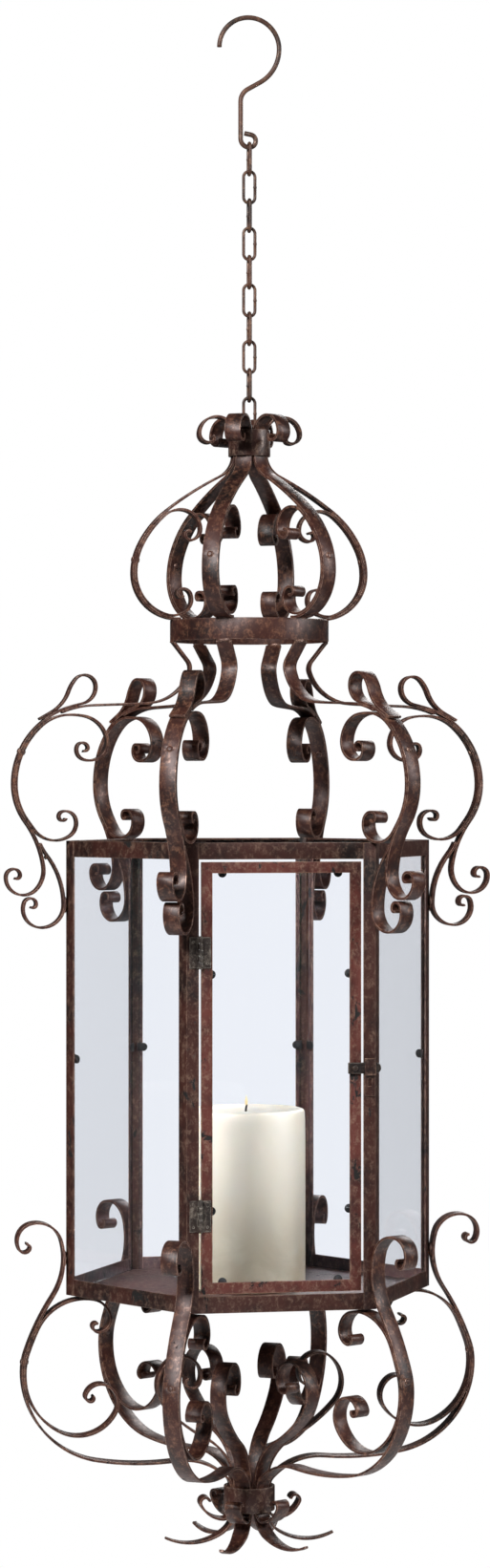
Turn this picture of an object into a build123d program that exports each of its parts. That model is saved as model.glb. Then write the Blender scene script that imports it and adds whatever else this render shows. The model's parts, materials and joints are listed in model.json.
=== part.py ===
"""Hanging candle lantern of forged strap iron: hook, chain, crown, six-sided glazed body, lower cage."""

import math
import os

from build123d import *

os.makedirs("parts", exist_ok=True)

# All lengths are in millimetres. +Z is up, the door faces -Y, and the origin is the hook's seat.
# r is the distance from the lantern's axis, and heights are negative because everything hangs below the seat.

# strap iron
strap_width = 14.0
strap_thick = 2.0
seam = 0.1  # paint-thick gap between two straps that lie against each other
stations = [0, 60, 120, 180, 240, 300]  # the six corner directions, in degrees about +Z

# hook and chain
hook_wire_r = 2.0
hook_bend_r = 25.5
link_wire_r = 1.3
link_length = 29.2
link_width = 12.3
link_count = 10
link_play = 0.3
weld_bump_r = 1.6
eye_z = -106.77  # centre of the hook's wire at the bottom of its eye

# hanger inside the top collar
bail_wire_r = 1.5
bail_half = 6.0
hanger_plate_apothem = 12.1
hanger_plate_z = -361.0
hanger_plate_thick = 3.0

# collars and crown ring
top_strap_r = 13.4
top_collar_inner_r = 16.4
top_collar_outer_r = 17.6
top_collar_z = (-366.0, -344.0)
ring_inner_r = 64.4
ring_outer_r = 66.4
ring_z = (-521.0, -503.1)
petal_strap_r = 13.9
hoop_edge = 0.3  # the eased edges of the collars and the ring
bottom_collar_inner_r = 18.7
bottom_collar_outer_r = 21.4
bottom_collar_z = (-1247.5, -1227.0)

# six-sided body
body_corner_r = 155.0
body_z = (-1064.0, -687.0)
frame_thick = 1.5
post_arm = 10.0
rail_height = 13.5
flange_depth = 8.0
floor_thick = 1.5
pane_thick = 2.0
pane_width = 142.0
pane_gap = 0.2
clip_mid_z = -868.0
side_clip_heights = [-982.6, -792.8]
end_clip_offset = 47.5
clip_nose_r = 3.6
clip_thick = 1.0
clip_leg_thick = 1.2
clip_leg_gap = 0.2  # between the clip's leg and the glass's edge

# door
door_gap = 2.0
door_z = (-1048.5, -702.5)
door_stile = 9.0
door_thick = 3.0
door_pane_lap = 3.5

# butt hinges
hinge_z = (-986.0, -775.0)
hinge_height = 25.0
leaf_thick = 0.9
leaf_width = 6.5
barrel_r = 1.9
hinge_bore_r = 0.95
hinge_pin_r = 0.9
hinge_pin_head_r = 1.5
knuckle_gap = 0.3

# latch
latch_z = -869.0
latch_pivot_x = 60.0
latch_arm_height = 9.0
latch_arm_thick = 2.0
latch_arm_back = 5.6
latch_arm_reach = 21.5
latch_stand_off = 0.6
latch_rivet_r = 1.5
latch_rivet_head_r = 2.6
latch_rivet_head_height = 1.2
latch_rivet_play = 0.05  # between the rivet and the arm's hole
latch_clearance = 0.2  # under the rivet's head
keeper_shelf_gap = 0.3  # under the arm when it is down
keeper_lip_gap = 0.5  # in front of the arm
keeper_slot = (3.0, 6.0)
keeper_slot_z = -880.5
keeper_fold_r = 0.4
keeper_sheet = 1.0
keeper_bottom_z = -892.0
keeper_top_z = -861.0

# candle
candle_r = 50.0
candle_height = 150.0
candle_x = -3.0
melt_pool_r = 41.0
melt_pool_depth = 3.5
wick_r = 0.9
wick_height = 7.0
candle_edge = 2.0  # the bevel round the candle's rim

# rivets that fix the inner scrolls to the outer straps
rivet_r = 1.5
rivet_head_r = 3.0
rivet_head_height = 1.4
# for each tier, the radius of the outer strap's arc at the rivet, and the degrees above its widest point
crown_arc_r, crown_rivet_swing = 54.0, 12.0
shoulder_arc_r, shoulder_rivet_swing = 67.0, 24.0
bracket_arc_r, bracket_rivet_swing = 54.0, 10.0
rivet_seat = 0.12  # how far the inner head stands off the hollow side of a scroll

# Each strap's side view is a chain of bends, given as (radius, degrees), with left turns positive.
# A run with 0 degrees is straight, and its first number is then its length.
hook_bends = [(hook_bend_r, -180), (33, -60), (12, 0), (12, 60), (31, 0)]
hook_eye_bends = [(7.3, 90), (5.6, 110), (5, 60), (5.5, 0)]

crown_rib_top = (top_strap_r, -355.0)
crown_rib_up = [(7, 0), (15, -90), (14.5, -88), (7.5, -115), (2.8, -120)]
crown_rib_down = [(9, 0), (21, 63), (280, -11), (82, -27), (54, -25), (38, -75), (30, -15), (4, 0)]
crown_wide = (99.03, -464.33)
crown_scroll_up = [(51.9, 25), (79.9, 24), (20, 40), (17, 88), (9, 90), (4.5, 100), (2.8, 130)]
crown_scroll_down = [(35.9, -73), (19, -55), (12, -75), (7, -90), (3.6, -110), (2.6, -110)]

neck_start = (64.6, -522.1)
neck_heading = -128
neck_bends = [(19, 0), (10, 56), (38, 66), (200, 4), (33.8, 0), (79.5, -14), (64.9, -8)]

shoulder_wide = (199.3, -640.0)
shoulder_up = [(67, 74), (190, 3), (14, -84), (9.5, -132), (32, -22), (31.5, 41), (12, 0)]
shoulder_down = [(54, -36), (82, 28), (23, 51), (14.6, 140), (6.7, 85), (5.2, 90), (3, 120)]
shoulder_scroll_up = [(64.9, 48), (36, 40), (60, 12), (24, 70), (15, 120), (8.5, 90), (4.6, 150), (2.8, 120)]
shoulder_scroll_down = [(51.9, -36), (9, 0), (22, -85), (13, -75), (9, -90), (4.2, -110), (2.8, -130)]
foot_start = (177.1, -689.1)
foot_heading = -112
foot_bends = [(40, -16), (68, 38), (18.5, 90), (15.5, 110), (5.5, 85), (4.6, 90), (2.8, 110)]

bracket_wide = (191.9, -1127.7)
bracket_up = [(54, 19), (200, 14.5), (56, -49), (21.2, -91), (14.6, -102), (4.9, -126), (2.9, -120)]
bracket_down = [(75, -41), (76, -39), (240, -16), (52.4, 50), (2, 0), (10, 46), (20, 0)]
bracket_tail = [(7, 95), (22, 60), (4.2, 112), (3.6, 90)]
lower_scroll_up = [(51.9, 19), (197.9, 6), (42.5, 76), (18, 68), (11, 93), (4.9, 85), (2.9, 130)]
lower_scroll_down = [(72.9, -6), (53, -58), (35, -86), (17.3, -84), (13, -107), (4.2, -113), (2.8, -120)]

petal_root_z = -1236.5
petal_up = [(11, 0), (44, -62), (127, 20), (26.6, 95), (16.5, 148), (6.8, 117), (3.4, 120)]
petal_tail = [(10, 0), (23, 57), (48, 59)]
tail_tip_width = 3.0
tail_taper_start = 24.0
tail_reach = 75.0

# ---- helpers


def station_plane(angle):
    """The upright plane through the axis in one corner direction: local x is r and local y is height."""
    return Plane.XZ.rotated((0, 0, angle))


def bend_chain(start, heading, bends):
    """Draws the bends end to end, each tangent to the last, in the line being built."""
    at, aim = Vector(*start), heading
    for radius, turn in bends:
        ahead = Vector(1, 0).rotate(Axis.Z, aim)
        if turn == 0:
            PolarLine((at.X, at.Y), radius, aim)
            at += ahead * radius
        else:
            JernArc((at.X, at.Y), (ahead.X, ahead.Y), radius, turn)
            centre = at + ahead.rotate(Axis.Z, 90 if turn > 0 else -90) * radius
            at = centre + (at - centre).rotate(Axis.Z, turn)
        aim += turn


def side_view(angle, *chains):
    """One strap's side view in a station's plane: its chains of bends, each with the strap's thickness."""
    with BuildSketch(station_plane(angle)) as view:
        for start, heading, bends in chains:
            with BuildLine():
                bend_chain(start, heading, bends)
            trace(line_width=strap_thick)
    return view.sketch


def forge(view):
    """Makes a side view into a strap of full width, in the part being built."""
    extrude(view, amount=strap_width / 2, both=True)


def inside(point):
    """The point where a strap lies against the inner side of another one that stands upright at point."""
    return (point[0] - strap_thick - seam, point[1])


def bolt_plane(angle, centre, radius, swing):
    """A plane on the arc about centre, swing degrees above the horizontal, facing away from the centre."""
    plane = station_plane(angle)
    out = Vector(1, 0).rotate(Axis.Z, swing)
    foot = plane.from_local_coords(Vector(*centre) + out * radius)
    normal = plane.from_local_coords(Vector(*centre) + out * (radius + 1)) - foot
    return Plane(foot, x_dir=plane.z_dir, z_dir=normal)


def save(name, label):
    """Labels a finished piece and writes its STEP file."""
    name.part.label = label
    export_step(name.part, f"parts/{label}.step")


# ---- hook

with BuildPart() as hook:
    with BuildLine(Plane.XZ) as hook_line:
        bend_chain((-hook_bend_r, hook_wire_r - hook_bend_r), 90, hook_bends + hook_eye_bends)
    with BuildSketch(hook_line.line ^ 0):
        Circle(hook_wire_r)
    sweep()
save(hook, "hook")

# ---- chain: odd links lie in the YZ plane and even links in the XZ plane

link_half = (link_length - 2 * link_wire_r) / 2  # from a link's middle to its end wires
link_side = link_width / 2 - link_wire_r  # from a link's middle line to its side wires
link_straight = link_half - link_side
link_pitch = 2 * link_half - 2 * link_wire_r - link_play
first_end_z = eye_z + hook_wire_r + link_wire_r + link_play - 2 * link_half
link_end_z = [first_end_z - link_pitch * n for n in range(link_count)]

for number, end_z in enumerate(link_end_z, start=1):
    upright = Plane.YZ if number % 2 else Plane.XZ
    centre = Vector(0, 0, end_z + link_half)
    with BuildPart() as link:
        with BuildLine(Plane(centre, x_dir=upright.x_dir, z_dir=upright.z_dir)) as loop:
            right = Line((link_side, -link_straight), (link_side, link_straight))
            CenterArc((0, link_straight), link_side, 0, 180)
            Line((-link_side, link_straight), (-link_side, -link_straight))
            CenterArc((0, -link_straight), link_side, 180, 180)
        with BuildSketch(Plane(right @ 0, x_dir=upright.x_dir, z_dir=(0, 0, 1))):
            Circle(link_wire_r)
        sweep()
        with Locations(centre + upright.x_dir * link_side):
            Sphere(weld_bump_r)
    save(link, f"link_{number:02d}")

# ---- hanger: a wire bail over the last link, standing on a plate inside the top collar

bail_z = link_end_z[-1] + link_wire_r + bail_wire_r + link_play
plate_top_z = hanger_plate_z + hanger_plate_thick

with BuildPart() as suspension_bail:
    with BuildLine(Plane.YZ) as bail_line:
        leg = Line((-bail_half, plate_top_z), (-bail_half, bail_z - bail_half))
        CenterArc((0, bail_z - bail_half), bail_half, 180, -180)
        Line((bail_half, bail_z - bail_half), (bail_half, plate_top_z))
    with BuildSketch(Plane.XY.offset(plate_top_z)):
        with Locations((0, -bail_half)):
            Circle(bail_wire_r)
    sweep()
save(suspension_bail, "suspension_bail")

with BuildPart() as hanger_plate:
    with BuildSketch(Plane.XY.offset(hanger_plate_z)):
        RegularPolygon(hanger_plate_apothem, 6, major_radius=False, rotation=30)
    extrude(amount=hanger_plate_thick)
save(hanger_plate, "hanger_plate")

# ---- collars and crown ring


def band(label, inner_r, outer_r, heights):
    """A plain hoop about the axis, with its edges eased."""
    with BuildPart() as hoop:
        with BuildSketch(Plane.XY.offset(heights[0])):
            Circle(outer_r)
            Circle(inner_r, mode=Mode.SUBTRACT)
        extrude(amount=heights[1] - heights[0])
        chamfer(hoop.edges().filter_by(GeomType.CIRCLE), hoop_edge)
    save(hoop, label)


band("top_collar", top_collar_inner_r, top_collar_outer_r, top_collar_z)
band("crown_ring", ring_inner_r, ring_outer_r, ring_z)
band("bottom_collar", bottom_collar_inner_r, bottom_collar_outer_r, bottom_collar_z)

# ---- rivets: where they sit on the arcs of the outer straps, as (arc centre, arc radius, swing)

crown_rivet = ((crown_wide[0] - crown_arc_r, crown_wide[1]), crown_arc_r, crown_rivet_swing)
shoulder_rivet = ((shoulder_wide[0] - shoulder_arc_r, shoulder_wide[1]), shoulder_arc_r, shoulder_rivet_swing)
bracket_rivet = ((bracket_wide[0] - bracket_arc_r, bracket_wide[1]), bracket_arc_r, bracket_rivet_swing)


def rivet_hole(angle, spot):
    """Drills the part being built for one rivet."""
    with Locations(bolt_plane(angle, *spot)):
        Cylinder(rivet_r, 4 * strap_thick, mode=Mode.SUBTRACT)


def set_rivet(angle, spot):
    """One rivet with a head at each end, through an outer strap and the scroll that lies inside it."""
    centre, radius, swing = spot
    shank = 2 * strap_thick + seam + rivet_seat
    outer_face = bolt_plane(angle, centre, radius + strap_thick / 2, swing)
    inner_face = outer_face.offset(-shank)
    base = (Align.CENTER, Align.CENTER, Align.MIN)
    with Locations(inner_face):
        Cylinder(rivet_r, shank, align=base)
    for face in (outer_face, Plane(inner_face.origin, inner_face.x_dir, -inner_face.z_dir)):
        with Locations(face):
            Cone(rivet_head_r, rivet_head_r / 2, rivet_head_height, align=base)


# ---- crown: six ribs from the top collar to the ring, each with a scroll inside

for number, angle in enumerate(stations, start=1):
    with BuildPart() as crown_rib:
        forge(side_view(angle, (crown_rib_top, 90, crown_rib_up), (crown_rib_top, -90, crown_rib_down)))
        rivet_hole(angle, crown_rivet)
    save(crown_rib, f"crown_rib_{number}")


def scroll_set(label, wide, up, down, spot):
    """The six inner scrolls of one tier, each lying against the strap that is widest at wide."""
    with BuildPart() as scrolls:
        for angle in stations:
            forge(side_view(angle, (inside(wide), 90, up), (inside(wide), -90, down)))
        for angle in stations:
            rivet_hole(angle, spot)
    save(scrolls, label)


scroll_set("crown_scrolls", crown_wide, crown_scroll_up, crown_scroll_down, crown_rivet)

# ---- shoulder: neck straps, six big scrolled straps, the scrolls inside them and the foot scrolls below

with BuildPart() as neck_straps:
    for angle in stations:
        forge(side_view(angle, (neck_start, neck_heading, neck_bends)))
save(neck_straps, "neck_straps")

for number, angle in enumerate(stations, start=1):
    with BuildPart() as shoulder_strap:
        forge(side_view(angle, (shoulder_wide, 90, shoulder_up), (shoulder_wide, -90, shoulder_down)))
        rivet_hole(angle, shoulder_rivet)
    save(shoulder_strap, f"shoulder_strap_{number}")

scroll_set("shoulder_scrolls", shoulder_wide, shoulder_scroll_up, shoulder_scroll_down, shoulder_rivet)

with BuildPart() as foot_scrolls:
    for angle in stations:
        forge(side_view(angle, (foot_start, foot_heading, foot_bends)))
save(foot_scrolls, "foot_scrolls")

# ---- body frame: angle-iron posts, top and bottom rails with flanges, floor plate

body_apothem = body_corner_r * math.cos(math.radians(30))
rail_length = body_corner_r - 2 * post_arm
side_angles = [30, 90, 150, 210, 270, 330]
door_side = 270

with BuildPart() as corner_posts:
    with BuildSketch(Plane.XY.offset(body_z[0])):
        RegularPolygon(body_apothem, 6, major_radius=False)
        RegularPolygon(body_apothem - frame_thick, 6, major_radius=False, mode=Mode.SUBTRACT)
        with PolarLocations(body_apothem, 6, start_angle=30):
            Rectangle(4 * frame_thick, rail_length, mode=Mode.SUBTRACT)
    extrude(amount=body_z[1] - body_z[0])
save(corner_posts, "corner_posts")


def rail_set(label, low_z, flange_z):
    """Six angle-iron rails between the posts: an upright leaf and an inward flange."""
    with BuildPart() as rails:
        with BuildSketch(Plane.XY.offset(low_z)):
            with PolarLocations(body_apothem - frame_thick / 2, 6, start_angle=30):
                Rectangle(frame_thick, rail_length)
        extrude(amount=rail_height)
        with BuildSketch(Plane.XY.offset(flange_z)):
            with PolarLocations(body_apothem - flange_depth / 2, 6, start_angle=30):
                Rectangle(flange_depth, rail_length)
        extrude(amount=frame_thick)
    save(rails, label)


rail_set("bottom_rails", body_z[0], body_z[0])
rail_set("top_rails", body_z[1] - rail_height, body_z[1] - frame_thick)

floor_z = body_z[0] + frame_thick
floor_top_z = floor_z + floor_thick
with BuildPart() as floor_plate:
    with BuildSketch(Plane.XY.offset(floor_z)):
        RegularPolygon(body_apothem - frame_thick - 0.2, 6, major_radius=False)
    extrude(amount=floor_thick)
save(floor_plate, "floor_plate")

# ---- glass: five fixed panes behind the posts, held by small bent clips

pane_outer = body_apothem - frame_thick - pane_gap
pane_z = (floor_top_z + 0.3, body_z[1] - frame_thick - 1.0)
fixed_sides = [angle for angle in side_angles if angle != door_side]

with BuildPart() as fixed_panes:
    for angle in fixed_sides:
        with BuildSketch(Plane.XY.offset(pane_z[0]).rotated((0, 0, angle))):
            with Locations((pane_outer - pane_thick / 2, 0)):
                Rectangle(pane_thick, pane_width)
        extrude(amount=pane_z[1] - pane_z[0])
save(fixed_panes, "fixed_panes")


def clip_nose(face, edge, glass_edge, depth):
    """The flat of a bent clip, over the glass's edge, with a half-round nose past the frame's edge."""
    outer_edge = glass_edge + clip_leg_gap + clip_leg_thick
    with BuildSketch(face.offset(depth)) as nose:
        with Locations(((edge + outer_edge) / 2, 0)):
            Rectangle(outer_edge - edge, 2 * clip_nose_r)
        with Locations((edge, 0)):
            Circle(clip_nose_r)
    return nose.sketch


def clip_leg(face, glass_edge):
    """The leg of a bent clip, which stands on the frame's back just beyond the glass."""
    with BuildSketch(face) as leg:
        with Locations((glass_edge + clip_leg_gap + clip_leg_thick / 2, 0)):
            Rectangle(clip_leg_thick, 2 * clip_nose_r)
    return leg.sketch


def bend_clip(face, edge, glass_edge, depth):
    """One clip in the part being built. face is the frame's back: local x to the frame, z to the inside."""
    extrude(clip_nose(face, edge, glass_edge, depth), amount=clip_thick)
    extrude(clip_leg(face, glass_edge), amount=depth)


clip_depth = pane_gap + pane_thick + 0.2

with BuildPart() as pane_clips:
    for angle in fixed_sides:
        inward = Vector(-1, 0, 0).rotate(Axis.Z, angle)
        along = Vector(0, 1, 0).rotate(Axis.Z, angle)
        back = -inward * (body_apothem - frame_thick) + Vector(0, 0, clip_mid_z)
        for way in (along, -along):
            bend_clip(Plane(back, x_dir=way, z_dir=inward), rail_length / 2, pane_width / 2, clip_depth)
save(pane_clips, "pane_clips")

# ---- door: a flat frame with its own pane, in the opening between the two front posts

door_half = rail_length / 2 - door_gap
door_height = door_z[1] - door_z[0]
door_mid_z = (door_z[0] + door_z[1]) / 2
door_face = Plane((0, -body_apothem, door_mid_z), x_dir=(1, 0, 0), z_dir=(0, -1, 0))
door_back = door_face.offset(-door_thick)
door_glass_half = door_half - door_stile + door_pane_lap
door_glass_height = door_height - 2 * door_stile + 2 * door_pane_lap

with BuildPart() as door_frame:
    with BuildSketch(door_back):
        Rectangle(2 * door_half, door_height)
        Rectangle(2 * (door_half - door_stile), door_height - 2 * door_stile, mode=Mode.SUBTRACT)
    extrude(amount=door_thick)
    with Locations(Plane((latch_pivot_x, -body_apothem, latch_z), z_dir=(0, -1, 0))):
        Cylinder(latch_rivet_r, 4 * door_thick, mode=Mode.SUBTRACT)
save(door_frame, "door_frame")

with BuildPart() as door_pane:
    with BuildSketch(door_back.offset(-0.1 - pane_thick)):
        Rectangle(2 * door_glass_half, door_glass_height)
    extrude(amount=pane_thick)
save(door_pane, "door_pane")

door_clip_depth = 0.1 + pane_thick + 0.2

with BuildPart() as door_clips:
    for way in (1, -1):
        for height in side_clip_heights:
            edge_plane = Plane((0, door_back.origin.Y, height), x_dir=(way, 0, 0), z_dir=(0, 1, 0))
            bend_clip(edge_plane, door_half - door_stile, door_glass_half, door_clip_depth)
        for offset_x in (-end_clip_offset, end_clip_offset):
            edge_plane = Plane((offset_x, door_back.origin.Y, door_mid_z), x_dir=(0, 0, way), z_dir=(0, 1, 0))
            bend_clip(edge_plane, door_height / 2 - door_stile, door_glass_height / 2, door_clip_depth)
save(door_clips, "door_clips")

# ---- two butt hinges on the left: five knuckles each, three on the post's leaf and two on the door's

hinge_x = -(door_half + door_gap / 2)
hinge_y = -body_apothem - barrel_r
knuckle_pitch = hinge_height / 5


def hinge_leaves(label, side, knuckles):
    """Both hinges' leaves of one side: side is -1 on the post and +1 on the door."""
    plate_start = barrel_r + 0.3
    plate_middle = hinge_x + side * (plate_start + leaf_width / 2)
    with BuildPart() as leaves:
        for middle_z in hinge_z:
            low_z = middle_z - hinge_height / 2
            with BuildSketch(Plane.XY.offset(low_z)):
                with Locations((plate_middle, -body_apothem - leaf_thick / 2)):
                    Rectangle(leaf_width, leaf_thick)
            extrude(amount=hinge_height)
            for number in knuckles:
                with BuildSketch(Plane.XY.offset(low_z + number * knuckle_pitch + knuckle_gap / 2)):
                    with Locations((hinge_x + side * plate_start / 2, -body_apothem - leaf_thick / 2)):
                        Rectangle(plate_start, leaf_thick)
                    with Locations((hinge_x, hinge_y)):
                        Circle(barrel_r)
                        Circle(hinge_bore_r, mode=Mode.SUBTRACT)
                extrude(amount=knuckle_pitch - knuckle_gap)
    save(leaves, label)


hinge_leaves("hinge_post_leaves", -1, [0, 2, 4])
hinge_leaves("hinge_door_leaves", 1, [1, 3])

with BuildPart() as hinge_pins:
    for middle_z in hinge_z:
        with BuildSketch(Plane.XY.offset(middle_z - hinge_height / 2)):
            with Locations((hinge_x, hinge_y)):
                Circle(hinge_pin_r)
        extrude(amount=hinge_height)
        for end_z, rise in ((middle_z + hinge_height / 2, 0.8), (middle_z - hinge_height / 2, -0.8)):
            with BuildSketch(Plane.XY.offset(end_z)):
                with Locations((hinge_x, hinge_y)):
                    Circle(hinge_pin_head_r)
            extrude(amount=rise)
save(hinge_pins, "hinge_pins")

# ---- latch: an arm that turns on a rivet in the door and drops behind the keeper's lip on the post

arm_back_y = -body_apothem - latch_stand_off
arm_front_y = arm_back_y - latch_arm_thick

with BuildPart() as latch_arm:
    with BuildSketch(Plane((latch_pivot_x, arm_front_y, latch_z), x_dir=(1, 0, 0), z_dir=(0, -1, 0))):
        with Locations(((latch_arm_reach - latch_arm_height / 2 - latch_arm_back) / 2, 0)):
            Rectangle(latch_arm_back + latch_arm_reach - latch_arm_height / 2, latch_arm_height)
        with Locations((latch_arm_reach - latch_arm_height / 2, 0)):
            Circle(latch_arm_height / 2)
        Circle(latch_rivet_r + latch_rivet_play, mode=Mode.SUBTRACT)
    extrude(amount=-latch_arm_thick)
save(latch_arm, "latch_arm")

with BuildPart() as latch_rivet:
    with BuildSketch(Plane((latch_pivot_x, -body_apothem + door_thick, latch_z), z_dir=(0, -1, 0))):
        Circle(latch_rivet_r)
    extrude(amount=door_thick + latch_stand_off + latch_arm_thick + latch_clearance)
    with BuildSketch(Plane((latch_pivot_x, arm_front_y - latch_clearance, latch_z), z_dir=(0, -1, 0))):
        Circle(latch_rivet_head_r)
    extrude(amount=latch_rivet_head_height, taper=30)
save(latch_rivet, "latch_rivet")

keeper_x = (rail_length / 2 + 0.3, body_corner_r / 2 - 0.4)
keeper_mid_x = (keeper_x[0] + keeper_x[1]) / 2
keeper_width = keeper_x[1] - keeper_x[0]
shelf_top_z = latch_z - latch_arm_height / 2 - keeper_shelf_gap
lip_back_y = arm_front_y - keeper_lip_gap

with BuildPart() as latch_keeper:
    with BuildSketch(Plane((keeper_mid_x, -body_apothem, 0), x_dir=(1, 0, 0), z_dir=(0, -1, 0))):
        with Locations((0, (keeper_bottom_z + shelf_top_z) / 2)):
            Rectangle(keeper_width, shelf_top_z - keeper_bottom_z)
        with Locations((0, keeper_slot_z)):
            Rectangle(*keeper_slot, mode=Mode.SUBTRACT)
    extrude(amount=keeper_sheet)
    with BuildSketch(Plane.XY.offset(shelf_top_z - keeper_sheet)):
        with Locations((keeper_mid_x, (lip_back_y - keeper_sheet - body_apothem) / 2)):
            Rectangle(keeper_width, -body_apothem - lip_back_y + keeper_sheet)
    extrude(amount=keeper_sheet)
save(latch_keeper, "latch_keeper")

with BuildPart() as keeper_lip:
    with BuildSketch(Plane.XY.offset(shelf_top_z)):
        with Locations((keeper_mid_x, lip_back_y - keeper_sheet / 2)):
            Rectangle(keeper_width, keeper_sheet)
    extrude(amount=keeper_top_z - shelf_top_z)
    lip_top = keeper_lip.faces().sort_by(Axis.Z)[-1]
    fillet(lip_top.edges().filter_by(Axis.X).sort_by(Axis.Y)[0], keeper_fold_r)
save(keeper_lip, "keeper_lip")

# ---- lower cage: six long brackets, the scrolls inside them, and the petals with their tails

for number, angle in enumerate(stations, start=1):
    with BuildPart() as lower_bracket:
        below = bracket_down + bracket_tail
        forge(side_view(angle, (bracket_wide, 90, bracket_up), (bracket_wide, -90, below)))
        rivet_hole(angle, bracket_rivet)
    save(lower_bracket, f"lower_bracket_{number}")

scroll_set("lower_scrolls", bracket_wide, lower_scroll_up, lower_scroll_down, bracket_rivet)

petal_root = (petal_strap_r, petal_root_z)

with BuildPart() as petals:
    for angle in stations:
        forge(side_view(angle, (petal_root, -90, petal_tail)))
    with BuildSketch(Plane.XY.offset(petal_root_z - 60)):
        for angle in stations:
            with BuildLine(Plane.XY.rotated((0, 0, angle))):
                Polyline(
                    (1, -strap_width / 2),
                    (tail_taper_start, -strap_width / 2),
                    (tail_reach, -tail_tip_width / 2),
                    (tail_reach, tail_tip_width / 2),
                    (tail_taper_start, strap_width / 2),
                    (1, strap_width / 2),
                    close=True,
                )
            make_face()
    extrude(amount=80, mode=Mode.INTERSECT)
    for angle in stations:
        forge(side_view(angle, (petal_root, 90, petal_up)))
save(petals, "petals")

with BuildPart() as scroll_rivets:
    for spot in (crown_rivet, shoulder_rivet, bracket_rivet):
        for angle in stations:
            set_rivet(angle, spot)
save(scroll_rivets, "scroll_rivets")

# ---- candle

with BuildPart() as candle:
    with BuildSketch(Plane((candle_x, 0, 0), x_dir=(1, 0, 0), z_dir=(0, -1, 0))):
        with BuildLine():
            rim = (candle_r - candle_edge, floor_top_z + candle_height)
            Polyline(
                (0, floor_top_z + candle_height - melt_pool_depth),
                (0, floor_top_z),
                (candle_r, floor_top_z),
                (candle_r, floor_top_z + candle_height - candle_edge),
                rim,
            )
            Line(rim, (melt_pool_r, floor_top_z + candle_height))
            Spline(
                (melt_pool_r, floor_top_z + candle_height),
                (0, floor_top_z + candle_height - melt_pool_depth),
                tangents=[(-1, -0.4), (-1, 0)],
            )
        make_face()
    revolve(axis=Axis((candle_x, 0, 0), (0, 0, 1)))
save(candle, "candle")

with BuildPart() as wick:
    with BuildSketch(Plane.XY.offset(floor_top_z + candle_height - melt_pool_depth)):
        with Locations((candle_x, 0)):
            Circle(wick_r)
    extrude(amount=wick_height)
save(wick, "wick")
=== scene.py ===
import json
import math

import bmesh
import bpy
from mathutils import Matrix, Vector, noise


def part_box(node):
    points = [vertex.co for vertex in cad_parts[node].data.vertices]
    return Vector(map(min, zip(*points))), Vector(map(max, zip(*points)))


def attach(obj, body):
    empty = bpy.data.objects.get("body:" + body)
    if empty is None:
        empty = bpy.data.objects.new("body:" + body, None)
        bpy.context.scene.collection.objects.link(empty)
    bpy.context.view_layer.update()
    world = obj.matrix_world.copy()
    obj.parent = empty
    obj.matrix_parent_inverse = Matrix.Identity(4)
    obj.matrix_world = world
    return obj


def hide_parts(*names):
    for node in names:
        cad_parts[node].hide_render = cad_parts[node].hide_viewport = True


# Hanging candle lantern: forged strap iron, glass panes, a door and a pillar candle.
# Everything is in metres. +Z is up, the door faces -Y, and the hook's seat is the origin.

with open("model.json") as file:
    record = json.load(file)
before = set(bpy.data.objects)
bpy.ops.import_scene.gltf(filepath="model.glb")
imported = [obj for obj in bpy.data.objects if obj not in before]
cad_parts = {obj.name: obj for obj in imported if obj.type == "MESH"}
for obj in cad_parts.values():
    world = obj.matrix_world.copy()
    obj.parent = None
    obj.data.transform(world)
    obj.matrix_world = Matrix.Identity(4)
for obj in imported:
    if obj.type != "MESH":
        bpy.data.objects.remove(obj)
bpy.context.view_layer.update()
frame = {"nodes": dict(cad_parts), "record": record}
nodes = frame["nodes"]
record = frame["record"]
bodyOf = {node: body for body, held in record["behaviour"]["bodies"].items() for node in held}
slotOf = {row["node"]: row["material_slot"] for row in record["subparts"]}
stations = [math.radians(60 * number) for number in range(6)]

# ---- camera

cameraSetup = {"turn": -11.1, "distance": 3.2, "height": -0.640, "sideStep": -0.0036, "lens": 87.7}


def makeCamera(setup):
    turn = math.radians(setup["turn"])
    outward = Vector((math.sin(turn), -math.cos(turn), 0))
    sideways = Vector((math.cos(turn), math.sin(turn), 0))
    data = bpy.data.cameras.new("studioCamera")
    data.lens = setup["lens"]
    data.clip_end = 100
    camera = bpy.data.objects.new("studioCamera", data)
    place = outward * setup["distance"] + sideways * setup["sideStep"]
    camera.location = place + Vector((0, 0, setup["height"]))
    camera.rotation_euler = (math.radians(90), 0, turn)
    bpy.context.scene.collection.objects.link(camera)
    bpy.context.scene.camera = camera


makeCamera(cameraSetup)
print("camera placed")

# ---- shader helpers


def hexColor(code, alpha=1.0):
    parts = [int(code[i:i + 2], 16) / 255 for i in (0, 2, 4)]
    return tuple(p / 12.92 if p <= 0.04045 else ((p + 0.055) / 1.055) ** 2.4 for p in parts) + (alpha,)


def addNode(tree, kind, values=None, **settings):
    node = tree.nodes.new(kind)
    for name, value in settings.items():
        setattr(node, name, value)
    for name, value in (values or {}).items():
        node.inputs[name].default_value = value
    return node


def newGroup(name, inputs, outputs):
    tree = bpy.data.node_groups.new(name, "ShaderNodeTree")
    kinds = {"f": "NodeSocketFloat", "c": "NodeSocketColor"}
    for label, kind, value in inputs:
        socket = tree.interface.new_socket(name=label, in_out="INPUT", socket_type=kinds[kind])
        socket.default_value = value
    for label, kind in outputs:
        tree.interface.new_socket(name=label, in_out="OUTPUT", socket_type=kinds[kind])
    return tree, tree.nodes.new("NodeGroupInput"), tree.nodes.new("NodeGroupOutput")


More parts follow.
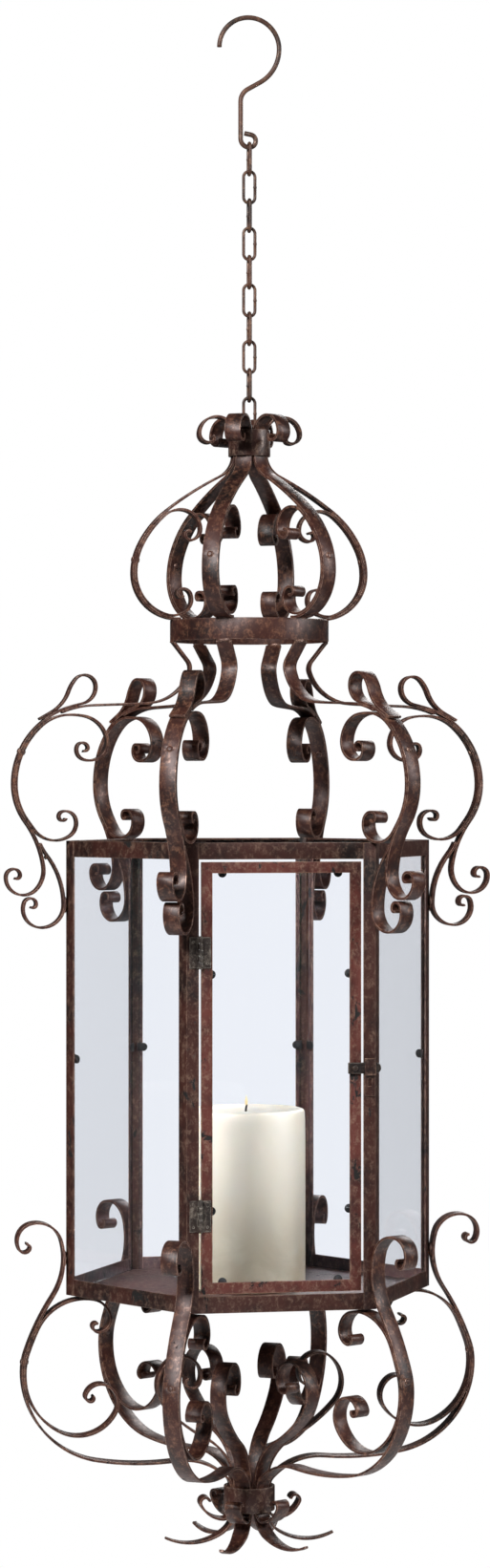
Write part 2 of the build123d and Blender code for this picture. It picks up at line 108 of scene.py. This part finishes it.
def placeGroup(tree, group, **values):
    node = tree.nodes.new("ShaderNodeGroup")
    node.node_tree = group
    for name, value in values.items():
        node.inputs[name].default_value = value
    return node


def mixColors(tree, factor, first, second, blend="MIX"):
    node = addNode(tree, "ShaderNodeMix", data_type="RGBA", blend_type=blend)
    for socket, value in ((node.inputs[0], factor), (node.inputs[6], first), (node.inputs[7], second)):
        if isinstance(value, bpy.types.NodeSocket):
            tree.links.new(value, socket)
        else:
            socket.default_value = value
    return node.outputs[2]


def doMath(tree, operation, first, second=0.0, clamp=False):
    node = addNode(tree, "ShaderNodeMath", operation=operation, use_clamp=clamp)
    for socket, value in zip(node.inputs, (first, second)):
        if isinstance(value, bpy.types.NodeSocket):
            tree.links.new(value, socket)
        else:
            socket.default_value = value
    return node.outputs[0]


def remap(tree, value, low, high, toLow=0.0, toHigh=1.0):
    node = addNode(tree, "ShaderNodeMapRange", interpolation_type="SMOOTHSTEP",
                   values={"From Min": low, "From Max": high, "To Min": toLow, "To Max": toHigh})
    tree.links.new(value, node.inputs["Value"])
    return node.outputs["Result"]


def speckle(tree, point, scale, detail=3.0, roughness=0.55, distortion=0.0):
    node = addNode(tree, "ShaderNodeTexNoise",
                   values={"Scale": scale, "Detail": detail, "Roughness": roughness, "Distortion": distortion})
    tree.links.new(point, node.inputs["Vector"])
    return node.outputs["Fac"]


def objectPoint(tree, shift=(0, 0, 0), stretch=(1, 1, 1)):
    point = addNode(tree, "ShaderNodeTexCoord").outputs["Object"]
    mapping = addNode(tree, "ShaderNodeMapping", values={"Location": shift, "Scale": stretch})
    tree.links.new(point, mapping.inputs["Vector"])
    return mapping.outputs["Vector"]


# ---- shared effects


def makePatina():
    # three sizes of blotch, from a hand's width down to specks
    tree, start, end = newGroup("patina", [
        ("Dark", "c", hexColor("2a1815")), ("Middle", "c", hexColor("4a2f27")),
        ("Light", "c", hexColor("76604c")), ("Rub", "f", 0.5)], [("Color", "c"), ("Rubbed", "f")])
    point = objectPoint(tree, shift=(3.1, 1.7, 0.4))
    cloud = remap(tree, speckle(tree, point, 24, 5, 0.62, 0.3), 0.30, 0.60)
    streak = speckle(tree, objectPoint(tree, (0.3, 2.2, 5), (1, 1, 0.7)), 210, 6, 0.72, 0.5)
    fine = speckle(tree, point, 620, 3, 0.7)
    rubBase = doMath(tree, "ADD", doMath(tree, "MULTIPLY", streak, 0.75), doMath(tree, "MULTIPLY", fine, 0.32))
    rubbed = remap(tree, rubBase, 0.50, 0.72)
    rubbed = doMath(tree, "MULTIPLY", rubbed, start.outputs["Rub"], clamp=True)
    body = mixColors(tree, cloud, start.outputs["Dark"], start.outputs["Middle"])
    tree.links.new(mixColors(tree, rubbed, body, start.outputs["Light"]), end.inputs["Color"])
    tree.links.new(rubbed, end.inputs["Rubbed"])
    return tree


def makeEdgeWearAndHighlight():
    # how far the rounded normal leans away from the flat one marks the rims of a piece; these rims take a lighter
    # colour that is partly worn paint and partly a painted edge highlight
    tree, start, end = newGroup("edgeWearAndHighlight", [("Radius", "f", 0.0012), ("Gain", "f", 4.5), ("Grain", "f", 160.0)],
                                [("Mask", "f")])
    rounded = addNode(tree, "ShaderNodeBevel", samples=4)
    tree.links.new(start.outputs["Radius"], rounded.inputs["Radius"])
    flat = addNode(tree, "ShaderNodeNewGeometry")
    lean = addNode(tree, "ShaderNodeVectorMath", operation="DOT_PRODUCT")
    tree.links.new(rounded.outputs["Normal"], lean.inputs[0])
    tree.links.new(flat.outputs["Normal"], lean.inputs[1])
    away = doMath(tree, "SUBTRACT", 1.0, lean.outputs["Value"])
    rim = doMath(tree, "MULTIPLY", away, start.outputs["Gain"], clamp=True)
    point = objectPoint(tree)
    broken = addNode(tree, "ShaderNodeTexNoise", values={"Detail": 4.0, "Roughness": 0.65})
    tree.links.new(point, broken.inputs["Vector"])
    tree.links.new(start.outputs["Grain"], broken.inputs["Scale"])
    patchyRim = remap(tree, broken.outputs["Fac"], 0.38, 0.60)
    tree.links.new(doMath(tree, "MULTIPLY", rim, patchyRim), end.inputs["Mask"])
    return tree


def makeChips():
    # dark flakes and short cracks where the paint has gone
    tree, start, end = newGroup("chips", [("Cover", "f", 0.5), ("Size", "f", 60.0)], [("Mask", "f")])
    point = objectPoint(tree, shift=(7.3, 0.9, 2.8), stretch=(1, 1, 0.6))
    patch = addNode(tree, "ShaderNodeTexNoise", values={"Detail": 5.0, "Roughness": 0.72, "Distortion": 0.6})
    tree.links.new(point, patch.inputs["Vector"])
    tree.links.new(start.outputs["Size"], patch.inputs["Scale"])
    limit = doMath(tree, "SUBTRACT", 0.70, doMath(tree, "MULTIPLY", start.outputs["Cover"], 0.12))
    over = doMath(tree, "SUBTRACT", patch.outputs["Fac"], limit)
    tree.links.new(doMath(tree, "MULTIPLY", over, 40.0, clamp=True), end.inputs["Mask"])
    return tree


def makeHammer():
    # shallow hammer marks, long scratches and pitting, as a height
    tree, start, end = newGroup("hammer", [("Marks", "f", 0.5), ("Pits", "f", 0.3)], [("Height", "f")])
    point = objectPoint(tree)
    marks = speckle(tree, point, 95, 2, 0.4)
    scratches = speckle(tree, objectPoint(tree, (0, 4, 0), (1, 1, 0.12)), 520, 2, 0.5)
    pits = speckle(tree, point, 900, 3, 0.7)
    height = doMath(tree, "ADD", doMath(tree, "MULTIPLY", marks, start.outputs["Marks"]),
                    doMath(tree, "MULTIPLY", pits, start.outputs["Pits"]))
    height = doMath(tree, "ADD", height, doMath(tree, "MULTIPLY", scratches, 0.16))
    tree.links.new(height, end.inputs["Height"])
    return tree


patina = makePatina()
edgeWearAndHighlight = makeEdgeWearAndHighlight()
chips = makeChips()
hammer = makeHammer()

# ---- materials


def newMaterial(name):
    material = bpy.data.materials.new(name)
    material.use_nodes = True
    tree = material.node_tree
    return material, tree, tree.nodes["Principled BSDF"]


# rim is the lighter colour laid on the edges, partly worn paint and partly a painted edge highlight; rimAmount is
# how much of it shows
ironFinishes = {
    "forgedIron": {"dark": "110706", "middle": "3c1d16", "light": "845c48", "rub": 0.7, "rim": "c9a592",
                   "rimAmount": 0.9, "chip": 0.3, "rough": (0.3, 0.46), "marks": 0.5},
    "bodyIron": {"dark": "120706", "middle": "3a1b14", "light": "7c6355", "rub": 0.6, "rim": "b38e78",
                 "rimAmount": 0.8, "chip": 0.75, "rough": (0.32, 0.48), "marks": 0.35},
    "doorIron": {"dark": "2c0f0c", "middle": "5a2b24", "light": "85695a", "rub": 0.75, "rim": "bb957c",
                 "rimAmount": 0.9, "chip": 1.0, "rough": (0.32, 0.48), "marks": 0.35},
    "wireIron": {"dark": "1d110d", "middle": "4d3023", "light": "85634c", "rub": 0.7, "rim": "90705a",
                 "rimAmount": 0.3, "chip": 0.2, "rough": (0.36, 0.55), "marks": 0.3},
    "hingeSteel": {"dark": "1b1412", "middle": "3b2e28", "light": "8b8176", "rub": 0.7, "rim": "b8b0a4",
                   "rimAmount": 0.9, "chip": 0.5, "rough": (0.32, 0.5), "marks": 0.3},
    "latchSteel": {"dark": "0c0706", "middle": "1f1411", "light": "5d4a3e", "rub": 0.5, "rim": "a39485",
                   "rimAmount": 0.8, "chip": 0.2, "rough": (0.3, 0.5), "marks": 0.3},
    "clipSteel": {"dark": "050505", "middle": "0e0c0b", "light": "2a2522", "rub": 0.5, "rim": "4b4540",
                  "rimAmount": 0.4, "chip": 0.1, "rough": (0.4, 0.6), "marks": 0.3},
    "collarIron": {"dark": "180b09", "middle": "40231c", "light": "8f7666", "rub": 0.7, "rim": "b39c8c",
                   "rimAmount": 0.8, "chip": 0.2, "rough": (0.22, 0.42), "marks": 0.4},
}
ironRelief = {"bareColor": "0d0908", "chipDepth": 0.3, "chipDull": 0.25, "metal": (0.15, 0.7),
              "strength": 0.55, "distance": 0.0006}


def makeIron(name, finish):
    material, tree, shader = newMaterial(name)
    paint = placeGroup(tree, patina, Dark=hexColor(finish["dark"]), Middle=hexColor(finish["middle"]),
                       Light=hexColor(finish["light"]), Rub=finish["rub"])
    rim = placeGroup(tree, edgeWearAndHighlight)
    flakes = placeGroup(tree, chips, Cover=finish["chip"])
    # the rims are painted lighter: worn paint and a painted edge highlight
    rimMask = doMath(tree, "MULTIPLY", rim.outputs["Mask"], finish["rimAmount"])
    color = mixColors(tree, rimMask, paint.outputs["Color"], hexColor(finish["rim"]))
    color = mixColors(tree, flakes.outputs["Mask"], color, hexColor(ironRelief["bareColor"]))
    tree.links.new(color, shader.inputs["Base Color"])
    shine = remap(tree, paint.outputs["Rubbed"], 0, 1, finish["rough"][1], finish["rough"][0])
    dull = doMath(tree, "MULTIPLY", flakes.outputs["Mask"], ironRelief["chipDull"])
    shine = doMath(tree, "ADD", shine, dull, clamp=True)
    tree.links.new(shine, shader.inputs["Roughness"])
    metal = remap(tree, rimMask, 0, 1, *ironRelief["metal"])
    tree.links.new(metal, shader.inputs["Metallic"])
    relief = placeGroup(tree, hammer, Marks=finish["marks"])
    sunk = doMath(tree, "MULTIPLY", flakes.outputs["Mask"], ironRelief["chipDepth"])
    height = doMath(tree, "SUBTRACT", relief.outputs["Height"], sunk)
    bump = addNode(tree, "ShaderNodeBump",
                   values={"Strength": ironRelief["strength"], "Distance": ironRelief["distance"]})
    tree.links.new(height, bump.inputs["Height"])
    tree.links.new(bump.outputs["Normal"], shader.inputs["Normal"])
    return material


irons = {name: makeIron(name, finish) for name, finish in ironFinishes.items()}

glassSetup = {"tint": "f9fbff", "edge": "4f8a78", "dust": "dfe3e4", "index": 1.3, "paneSmear": 0.012,
              "edgeSmear": 0.35, "arris": 0.0002}


def makeGlass(name, tint, smear):
    # lamps shine straight through, so what stands behind the panes is lit
    material, tree, shader = newMaterial(name)
    shader.inputs["Transmission Weight"].default_value = 1.0
    shader.inputs["IOR"].default_value = glassSetup["index"]
    dust = remap(tree, speckle(tree, objectPoint(tree), 30, 5, 0.7, 1.0), 0.45, 0.8, 0.0, smear)
    tree.links.new(dust, shader.inputs["Roughness"])
    tone = mixColors(tree, dust, hexColor(tint), hexColor(glassSetup["dust"]))
    tree.links.new(tone, shader.inputs["Base Color"])
    clear = addNode(tree, "ShaderNodeBsdfTransparent", values={"Color": hexColor(tint)})
    choose = addNode(tree, "ShaderNodeMixShader")
    path = addNode(tree, "ShaderNodeLightPath")
    tree.links.new(path.outputs["Is Shadow Ray"], choose.inputs[0])
    tree.links.new(shader.outputs[0], choose.inputs[1])
    tree.links.new(clear.outputs[0], choose.inputs[2])
    tree.links.new(choose.outputs[0], tree.nodes["Material Output"].inputs["Surface"])
    return material


paneGlass = makeGlass("paneGlass", glassSetup["tint"], glassSetup["paneSmear"])
edgeGlass = makeGlass("edgeGlass", glassSetup["edge"], glassSetup["edgeSmear"])

# ---- studio

studio = {"floorZ": -1.62, "floorRadius": 1.35, "skyLight": 0.06, "aimZ": -0.7}
# place, size and power of each lamp
lamps = {
    "keyLamp": ((-1.7, -2.2, 0.9), 0.9, 150),
    "fillLamp": ((2.6, -1.3, 0.2), 0.7, 52),
    "backLamp": ((1.4, 2.6, 0.6), 1.2, 34),
}


def makeStudio(setup):
    world = bpy.data.worlds.new("studioSky")
    bpy.context.scene.world = world
    world.use_nodes = True
    tree = world.node_tree
    sky = tree.nodes["Background"]
    sky.inputs["Color"].default_value = (1, 1, 1, 1)
    path = addNode(tree, "ShaderNodeLightPath")
    # the plain white backdrop shows to the eye and through the panes, and lights the iron only softly
    bounces = doMath(tree, "ADD", path.outputs["Diffuse Depth"], path.outputs["Glossy Depth"])
    seen = doMath(tree, "LESS_THAN", bounces, 0.5)
    strength = addNode(tree, "ShaderNodeMapRange", values={"To Min": setup["skyLight"], "To Max": 1.0})
    tree.links.new(seen, strength.inputs["Value"])
    tree.links.new(strength.outputs["Result"], sky.inputs["Strength"])
    for name, (place, size, power) in lamps.items():
        data = bpy.data.lights.new(name, "AREA")
        data.size = size
        data.energy = power
        lamp = bpy.data.objects.new(name, data)
        lamp.location = place
        lamp.rotation_euler = (Vector((0, 0, setup["aimZ"])) - Vector(place)).to_track_quat("-Z", "Y").to_euler()
        bpy.context.scene.collection.objects.link(lamp)
    shape = bmesh.new()
    bmesh.ops.create_circle(shape, cap_ends=True, segments=96, radius=setup["floorRadius"],
                            matrix=Matrix.Translation((0, 0, setup["floorZ"])))
    floor = finishPiece("studioFloor", shape, None)
    material, tree, shader = newMaterial("paleFloor")
    tone = remap(tree, speckle(tree, objectPoint(tree), 3, 2), 0.3, 0.7, 0.0, 1.0)
    tree.links.new(mixColors(tree, tone, (0.86, 0.86, 0.86, 1), (0.9, 0.9, 0.9, 1)), shader.inputs["Base Color"])
    shader.inputs["Roughness"].default_value = 0.9
    floor.data.materials.append(material)
    bpy.context.scene.view_settings.view_transform = "Standard"


def finishPiece(name, shape, material, smooth=True):
    mesh = bpy.data.meshes.new(name)
    shape.to_mesh(mesh)
    shape.free()
    piece = bpy.data.objects.new(name, mesh)
    bpy.context.scene.collection.objects.link(piece)
    if material:
        mesh.materials.append(material)
    for face in mesh.polygons:
        face.use_smooth = smooth
    return piece


makeStudio(studio)
print("studio set")

# ---- forged copies: every iron piece, with eased rims on all but the round wire pieces and a slightly uneven width on the straps

forging = {"merge": 2e-6, "flat": 0.6, "rim": 0.00035, "rimAngle": 35, "uneven": 0.035, "unevenScale": 30.0,
           "halfWidth": 0.007}
strapWords = ("crown_rib", "crown_scrolls", "neck_straps", "shoulder_strap", "shoulder_scrolls",
              "foot_scrolls", "lower_bracket", "lower_scrolls", "petals")
roundWords = ("hook", "link_", "suspension_bail")


def cadCopy(node):
    shape = bmesh.new()
    shape.from_mesh(nodes[node].data)
    bmesh.ops.remove_doubles(shape, verts=shape.verts[:], dist=forging["merge"])
    bmesh.ops.dissolve_limit(shape, angle_limit=math.radians(forging["flat"]), verts=shape.verts[:],
                             edges=shape.edges[:])
    return shape


def unevenWidth(shape):
    # a strap's edges wander inward a little, as hand-forged bar does
    for vert in shape.verts:
        turn = round(math.atan2(vert.co.y, vert.co.x) / math.radians(60)) * math.radians(60)
        across = Vector((-math.sin(turn), math.cos(turn), 0))
        offset = vert.co.dot(across)
        if abs(offset) > 0.8 * forging["halfWidth"]:
            side = 3.0 if offset > 0 else -3.0
            pull = 0.5 + 0.5 * noise.noise(vert.co * forging["unevenScale"] + Vector((0, 0, side)))
            vert.co -= across * offset * forging["uneven"] * pull


def easeRims(piece, width):
    rim = piece.modifiers.new("easedRims", "BEVEL")
    rim.width = width
    rim.segments = 2
    rim.limit_method = "ANGLE"
    rim.angle_limit = math.radians(forging["rimAngle"])
    rim.harden_normals = True


def materialFor(node):
    slot = slotOf[node]
    if node in ("bottom_collar", "top_collar"):
        return irons["collarIron"]
    if node in ("corner_posts", "bottom_rails", "top_rails", "floor_plate", "latch_keeper", "keeper_lip"):
        return irons["bodyIron"]
    return irons[{"iron": "forgedIron", "wire": "wireIron", "door_iron": "doorIron", "hinge_metal": "hingeSteel",
                  "latch_metal": "latchSteel", "clip_metal": "clipSteel"}[slot]]


def forgePiece(node):
    shape = cadCopy(node)
    if node.startswith(strapWords):
        unevenWidth(shape)
    piece = finishPiece(node + "_forged", shape, materialFor(node))
    if not node.startswith(roundWords):
        easeRims(piece, forging["rim"])
    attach(piece, bodyOf[node])
    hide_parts(node)


for node in sorted(nodes):
    if slotOf[node] not in ("glass", "wax", "wick"):
        forgePiece(node)
print("iron forged")

# ---- small pieces: weld beads where straps meet, and the hinges' screws

# radius and height of each weld, its half size along the strap's width, outward and upward
weldSpots = {
    "ringTopWelds": (0.0656, -0.5029, (0.0062, 0.0013, 0.0012)),
    "ringFootWelds": (0.0653, -0.5216, (0.0066, 0.0020, 0.0016)),
    "postTopWelds": (0.1556, -0.7406, (0.0045, 0.0012, 0.0075)),
    "footScrollWelds": (0.1722, -0.7002, (0.0058, 0.0011, 0.0030)),
    "postFootWelds": (0.1558, -1.0335, (0.0045, 0.0012, 0.0075)),
}
weldLumps = {"scale": 2.3, "base": 0.86, "swell": 0.26}


def runWeld(name, radius, height, size):
    # one lumpy bead at each corner of the lantern
    shape = bmesh.new()
    for number, turn in enumerate(stations):
        place = (Matrix.Translation((radius * math.cos(turn), radius * math.sin(turn), height))
                 @ Matrix.Rotation(turn, 4, "Z") @ Matrix.Diagonal((size[1], size[0], size[2], 1)))
        bead = bmesh.ops.create_icosphere(shape, subdivisions=4, radius=1)["verts"]
        for vert in bead:
            lump = noise.noise(vert.co * weldLumps["scale"] + Vector((number * 5.1, radius * 90, height * 70)))
            vert.co *= weldLumps["base"] + weldLumps["swell"] * lump
        bmesh.ops.transform(shape, matrix=place, verts=bead)
    piece = finishPiece(name, shape, irons["forgedIron"])
    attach(piece, "lantern")


for weldName, (weldRadius, weldHeight, weldSize) in weldSpots.items():
    runWeld(weldName, weldRadius, weldHeight, weldSize)

screwSetup = {"radius": 0.0014, "dome": 0.0006, "slot": 0.00035, "inset": 0.0030, "leafProud": 0.0009,
              "taper": 0.72, "slotRim": 0.28, "hinges": (-0.986, -0.775), "heights": (-0.0085, 0.0085)}


def driveScrews(name, leaves, body, setup):
    low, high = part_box(leaves)
    side = -1 if body == "lantern" else 1
    across = low.x + setup["inset"] if side < 0 else high.x - setup["inset"]
    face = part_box("door_frame")[0].y - setup["leafProud"]
    shape = bmesh.new()
    for middle in setup["hinges"]:
        for offset in setup["heights"]:
            place = Matrix.Translation((across, face, middle + offset)) @ Matrix.Rotation(math.radians(90), 4, "X")
            made = bmesh.ops.create_cone(shape, cap_ends=True, segments=20, radius1=setup["radius"],
                                         radius2=setup["radius"] * setup["taper"], depth=setup["dome"],
                                         matrix=place)
            around = {near for vert in made["verts"] for near in vert.link_faces}
            top = min(around, key=lambda f: f.calc_center_median().y)
            bmesh.ops.inset_individual(shape, faces=[top], thickness=setup["radius"] * setup["slotRim"])
            bmesh.ops.translate(shape, verts=top.verts[:], vec=(0, setup["slot"], 0))
    piece = finishPiece(name, shape, irons["hingeSteel"], smooth=False)
    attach(piece, body)


driveScrews("postHingeScrews", "hinge_post_leaves", "lantern", screwSetup)
driveScrews("doorHingeScrews", "hinge_door_leaves", "door", screwSetup)
print("welds and screws set")

# ---- glass


def cutPane(node):
    shape = cadCopy(node)
    piece = finishPiece(node + "_glass", shape, paneGlass, smooth=False)
    piece.data.materials.append(edgeGlass)
    # the broad faces are clear, and the narrow cut edges are green
    widest = max(face.area for face in piece.data.polygons)
    for face in piece.data.polygons:
        face.material_index = 0 if face.area > widest / 3 else 1
    rim = piece.modifiers.new("arris", "BEVEL")
    rim.width = glassSetup["arris"]
    rim.segments = 1
    rim.limit_method = "ANGLE"
    rim.angle_limit = math.radians(forging["rimAngle"])
    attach(piece, bodyOf[node])
    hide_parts(node)


cutPane("fixed_panes")
cutPane("door_pane")
print("glass cut")

# ---- candle

candleSetup = {"wobble": 0.0005, "rimRound": 0.003, "footRound": 0.0012, "poolEdge": 0.009, "poolDepth": 0.0032,
               "sag": 0.0008, "steps": 96}
# foot and top are the wax colours low and high on the candle: the darker foot is painted shade and the lighter top
# is painted light
waxSetup = {"foot": "877d6a", "top": "cec7b6", "frost": "b9b09b", "frostAmount": 0.3, "glow": 0.35}


def makeWax():
    material, tree, shader = newMaterial("candleWax")
    point = objectPoint(tree)
    low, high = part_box("candle")
    split = addNode(tree, "ShaderNodeSeparateXYZ")
    tree.links.new(point, split.inputs[0])
    rise = remap(tree, split.outputs["Z"], low.z, high.z)
    frost = remap(tree, speckle(tree, point, 28, 5, 0.6, 0.6), 0.35, 0.7)
    # darker towards the foot and lighter towards the top: painted shade below and painted light above
    color = mixColors(tree, rise, hexColor(waxSetup["foot"]), hexColor(waxSetup["top"]))
    frosted = doMath(tree, "MULTIPLY", frost, waxSetup["frostAmount"])
    color = mixColors(tree, frosted, color, hexColor(waxSetup["frost"]))
    tree.links.new(color, shader.inputs["Base Color"])
    tree.links.new(remap(tree, frost, 0, 1, 0.32, 0.55), shader.inputs["Roughness"])
    shader.inputs["Subsurface Weight"].default_value = waxSetup["glow"]
    shader.inputs["Subsurface Radius"].default_value = (0.012, 0.008, 0.005)
    shader.inputs["Subsurface Scale"].default_value = 1.0
    bump = addNode(tree, "ShaderNodeBump", values={"Strength": 0.25, "Distance": 0.0008})
    tree.links.new(speckle(tree, point, 60, 4, 0.6), bump.inputs["Height"])
    tree.links.new(bump.outputs["Normal"], shader.inputs["Normal"])
    return material


def pourCandle(setup):
    low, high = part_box("candle")
    middle = Vector(((low.x + high.x) / 2, (low.y + high.y) / 2, 0))
    radius = (high.x - low.x) / 2
    bend = setup["rimRound"]
    foot = setup["footRound"]
    pool = high.z - setup["poolDepth"]
    # half outline from the middle of the foot, up the side and into the melt pool
    profile = [
        (0, low.z), (radius * 0.5, low.z), (radius - 0.006, low.z), (radius - foot, low.z),
        (radius, low.z + foot), (radius, low.z + 0.006), (radius, low.z + 0.03), (radius, low.z + 0.07),
        (radius, low.z + 0.11), (radius, high.z - bend), (radius - bend * 0.3, high.z - bend * 0.3),
        (radius - bend, high.z), (radius - setup["poolEdge"], high.z - 0.0004),
        (radius * 0.74, pool + 0.0006), (radius * 0.5, pool), (0, pool),
    ]
    shape = bmesh.new()
    ring = [shape.verts.new((middle.x + r, middle.y, z)) for r, z in profile]
    edges = [shape.edges.new(pair) for pair in zip(ring, ring[1:])]
    bmesh.ops.spin(shape, geom=ring + edges, cent=middle, axis=(0, 0, 1), angle=math.radians(360),
                   steps=setup["steps"], use_merge=True, use_duplicate=False)
    bmesh.ops.remove_doubles(shape, verts=shape.verts[:], dist=1e-6)
    bmesh.ops.recalc_face_normals(shape, faces=shape.faces[:])
    for vert in shape.verts:
        away = vert.co - middle
        away.z = 0
        if away.length > 0.6 * radius and vert.co.z > low.z + 0.001:
            dent = 0.5 + 0.5 * noise.noise(vert.co * 40)
            vert.co -= away.normalized() * dent * setup["wobble"]
            if vert.co.z > high.z - 0.001:
                vert.co.z -= dent * setup["sag"]
    piece = finishPiece("pillarCandle", shape, makeWax())
    smooth = piece.modifiers.new("softened", "SUBSURF")
    smooth.levels = smooth.render_levels = 1
    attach(piece, "candle")
    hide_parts("candle")
    return middle, pool


poolMiddle, poolZ = pourCandle(candleSetup)

wickSetup = {"radius": 0.0009, "bend": 0.0012, "steps": 10, "taperFrom": 0.8, "taper": 0.8}


def twistWick(setup):
    low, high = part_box("wick")
    material, tree, shader = newMaterial("burntWick")
    grain = speckle(tree, objectPoint(tree), 1500, 3)
    tree.links.new(mixColors(tree, grain, hexColor("080706"), hexColor("2a241f")), shader.inputs["Base Color"])
    shader.inputs["Roughness"].default_value = 0.85
    shape = bmesh.new()
    bmesh.ops.create_circle(shape, cap_ends=True, segments=12, radius=setup["radius"],
                            matrix=Matrix.Translation((poolMiddle.x, poolMiddle.y, low.z)))
    top = shape.faces[:]
    rise = (high.z - low.z) / setup["steps"]
    for step in range(setup["steps"]):
        grown = bmesh.ops.extrude_face_region(shape, geom=top)["geom"]
        if step:
            bmesh.ops.delete(shape, geom=top, context="FACES_ONLY")
        top = [item for item in grown if isinstance(item, bmesh.types.BMFace)]
        tipward = (step + 1) / setup["steps"]
        bmesh.ops.translate(shape, verts=top[0].verts[:], vec=(setup["bend"] * 0.02 * step, 0, rise))
        if tipward >= setup["taperFrom"]:
            bmesh.ops.scale(shape, verts=top[0].verts[:], vec=(setup["taper"], setup["taper"], 1),
                            space=Matrix.Translation(-top[0].calc_center_median()))
    bmesh.ops.recalc_face_normals(shape, faces=shape.faces[:])
    piece = finishPiece("candleWick", shape, material)
    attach(piece, "candle")
    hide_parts("wick")
    return high


wickTop = twistWick(wickSetup)

flameSetup = {"width": 0.0026, "height": 0.009, "side": 0.0004, "lift": 0.002, "pinch": 0.75, "stretch": 1.5}


def lightFlame(setup):
    material, tree, shader = newMaterial("candleFlame")
    split = addNode(tree, "ShaderNodeSeparateXYZ")
    tree.links.new(objectPoint(tree), split.inputs[0])
    rise = remap(tree, split.outputs["Z"], wickTop.z - 0.004, wickTop.z + 0.007)
    tree.links.new(mixColors(tree, rise, hexColor("ffdf9a"), hexColor("fff3c4")), shader.inputs["Emission Color"])
    shader.inputs["Base Color"].default_value = hexColor("4a4030")
    shader.inputs["Emission Strength"].default_value = 0.9
    shape = bmesh.new()
    bmesh.ops.create_uvsphere(shape, u_segments=20, v_segments=14, radius=1)
    for vert in shape.verts:
        if vert.co.z > 0:
            narrowing = 1 - setup["pinch"] * vert.co.z ** 1.2
            vert.co.x *= narrowing
            vert.co.y *= narrowing
            vert.co.z *= setup["stretch"]
    half = setup["width"] / 2
    tall = setup["height"] / (1 + setup["stretch"])
    bmesh.ops.scale(shape, verts=shape.verts[:], vec=(half, half, tall))
    middle = (poolMiddle.x + setup["side"], poolMiddle.y, wickTop.z + setup["lift"])
    bmesh.ops.translate(shape, verts=shape.verts[:], vec=middle)
    piece = finishPiece("candleFlame", shape, material)
    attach(piece, "candle")


lightFlame(flameSetup)
print("candle set")
